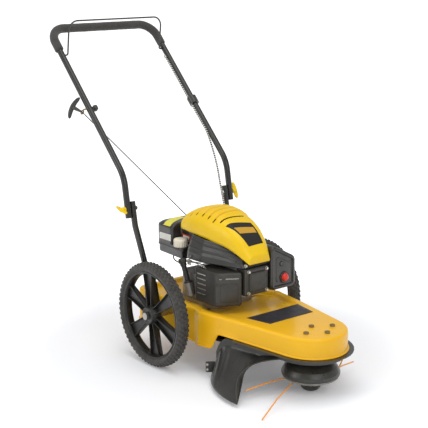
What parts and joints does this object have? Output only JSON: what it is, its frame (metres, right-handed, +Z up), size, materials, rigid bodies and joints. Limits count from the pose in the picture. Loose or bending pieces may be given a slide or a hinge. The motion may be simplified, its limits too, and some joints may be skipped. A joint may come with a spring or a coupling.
{
  "type": "walk-behind tall grass string mower",
  "caption": "Walk-behind tall grass mower: an engine on a pressed deck drives a string trimmer head at the nose by a belt, on spoked wheels with a folding handle.",
  "frame": {"origin": "bottom centre of the bounding box, on the ground", "axes": "+X towards the trimmer head, +Y to the operator's left, +Z up"},
  "size_m": [1.2754, 0.5742, 1.123],
  "materials": {
    "yellow_paint": "gloss",
    "black_paint": "satin",
    "yellow_plastic": "gloss",
    "black_plastic": "matte",
    "tyre_rubber": "matte",
    "belt_rubber": "matte",
    "foam": "matte",
    "steel": "satin",
    "cast_aluminium": "cast",
    "orange_nylon": "gloss",
    "red_rubber": "gloss",
    "cream_plastic": "satin",
    "grey_rope": "matte"
  },
  "bodies": {
    "chassis": {"deck": "yellow_paint", "skirt_ring": "black_plastic", "debris_shield": "black_plastic", "belt_cover": "black_paint", "wheel_axle": "steel", "right_lower_handle": "black_paint", "left_lower_handle": "black_paint", "right_handle_bracket": "black_paint", "left_handle_bracket": "black_paint", "right_handle_bolt": "steel", "left_handle_bolt": "steel", "drive_belt": "belt_rubber", "spindle_housing": "cast_aluminium", "crankcase": "cast_aluminium", "cylinder_head": "cast_aluminium", "valve_cover": "black_paint", "muffler": "steel", "muffler_guard": "black_paint", "carburettor": "cast_aluminium", "air_cleaner_base": "black_plastic", "air_cleaner_cover": "black_plastic", "fuel_tank": "black_plastic", "blower_housing": "black_plastic", "top_cover": "yellow_plastic", "oil_filler_tube": "black_plastic", "plug_boot": "orange_nylon", "governor_spring": "steel", "brake_bracket": "steel"},
    "right_wheel_set": {"right_tyre": "tyre_rubber", "right_wheel": "black_plastic"},
    "left_wheel_set": {"left_tyre": "tyre_rubber", "left_wheel": "black_plastic"},
    "crank": {"crankshaft": "steel", "engine_pulley": "steel", "flywheel": "cast_aluminium"},
    "trimmer": {"trimmer_spindle": "steel", "spindle_pulley": "steel", "trimmer_head": "black_plastic", "line_retainer": "black_plastic", "trimmer_line_near": "orange_nylon", "trimmer_line_far": "orange_nylon"},
    "ball": {"support_ball": "black_plastic"},
    "handle": {"upper_handle": "black_paint", "handle_grip": "foam", "rope_guide": "steel", "brake_cable": "black_plastic", "cable_sleeve": "black_plastic", "cable_stop": "steel", "starter_rope": "grey_rope"},
    "bail_wire": {"bail": "black_paint"},
    "guide_clamp": {"guide_knob": "black_plastic"},
    "right_knob": {"right_wing_knob": "yellow_plastic"},
    "left_knob": {"left_wing_knob": "yellow_plastic"},
    "starter": {"starter_grip": "black_plastic"},
    "reel": {"recoil_reel": "black_plastic"},
    "fuel_filler": {"fuel_cap": "cream_plastic"},
    "oil_filler": {"oil_cap": "black_plastic"},
    "primer": {"primer_bulb": "red_rubber"},
    "brake": {"brake_lever": "steel"}
  },
  "joints": [
    {"name": "right_wheel_roll", "type": "hinge", "parent": "chassis", "child": "right_wheel_set", "pos_m": [0.0079, -0.249, 0.1778], "axis": [0, 1, 0], "continuous": true},
    {"name": "left_wheel_roll", "type": "hinge", "parent": "chassis", "child": "left_wheel_set", "pos_m": [0.0079, 0.249, 0.1778], "axis": [0, 1, 0], "continuous": true},
    {"name": "crank_spin", "type": "hinge", "parent": "chassis", "child": "crank", "pos_m": [0.0629, -0.008, 0.149], "axis": [0, 0, 1], "continuous": true},
    {"name": "trimmer_spin", "type": "hinge", "parent": "chassis", "child": "trimmer", "pos_m": [0.5049, 0, 0.149], "axis": [0, 0, 1], "continuous": true},
    {"name": "ball_spin", "type": "hinge", "parent": "trimmer", "child": "ball", "pos_m": [0.5049, 0, 0], "axis": [0, 0, 1], "continuous": true},
    {"name": "handle_fold", "type": "hinge", "parent": "chassis", "child": "handle", "pos_m": [-0.1562, 0, 0.5068], "axis": [0, 1, 0], "range_deg": [0, 135], "deforming": ["starter_rope", "brake_cable"]},
    {"name": "bail_close", "type": "hinge", "parent": "handle", "child": "bail_wire", "pos_m": [-0.53798, 0, 1.00004], "axis": [0, -1, 0], "range_deg": [0, 38], "stiffness_Nm_per_rad": 0.6, "springref_deg": -28.65},
    {"name": "guide_knob_turn", "type": "hinge", "parent": "handle", "child": "guide_clamp", "pos_m": [-0.37343, -0.2267, 0.82631], "axis": [0, 1, 0], "continuous": true},
    {"name": "right_knob_turn", "type": "hinge", "parent": "chassis", "child": "right_knob", "pos_m": [-0.1562, -0.2267, 0.5068], "axis": [0, -1, 0], "continuous": true},
    {"name": "left_knob_turn", "type": "hinge", "parent": "chassis", "child": "left_knob", "pos_m": [-0.1562, 0.2267, 0.5068], "axis": [0, 1, 0], "continuous": true},
    {"name": "starter_pull", "type": "slide", "parent": "handle", "child": "starter", "axis": [-0.8775, -0.329, 0.349], "range_m": [0, 0.55], "stiffness_N_per_m": 12, "springref_m": -0.4},
    {"name": "reel_spin", "type": "hinge", "parent": "chassis", "child": "reel", "pos_m": [0.0629, -0.008, 0.436], "axis": [0, 0, 1], "range_deg": [0, 905]},
    {"name": "fuel_cap_turn", "type": "hinge", "parent": "chassis", "child": "fuel_filler", "pos_m": [-0.0411, -0.09, 0.3763], "axis": [0, 0, 1], "range_deg": [0, 90]},
    {"name": "oil_cap_turn", "type": "hinge", "parent": "chassis", "child": "oil_filler", "pos_m": [0.0159, -0.126, 0.335], "axis": [-0.286, -0.0953, 0.9535], "range_deg": [0, 360]},
    {"name": "primer_press", "type": "slide", "parent": "chassis", "child": "primer", "axis": [-1, 0, 0], "range_m": [0, 0.004], "stiffness_N_per_m": 800, "springref_m": -0.001},
    {"name": "brake_pull", "type": "hinge", "parent": "chassis", "child": "brake", "pos_m": [0.0279, 0.107, 0.369], "axis": [0, -1, 0], "range_deg": [0, 19.5]}
  ],
  "couplings": [
    {"joint": "trimmer_spin", "follows": "crank_spin", "ratio": 0.8235},
    {"joint": "reel_spin", "follows": "starter_pull", "rad_per_m": 28.571},
    {"joint": "brake_pull", "follows": "bail_close", "ratio": 0.5}
  ]
}
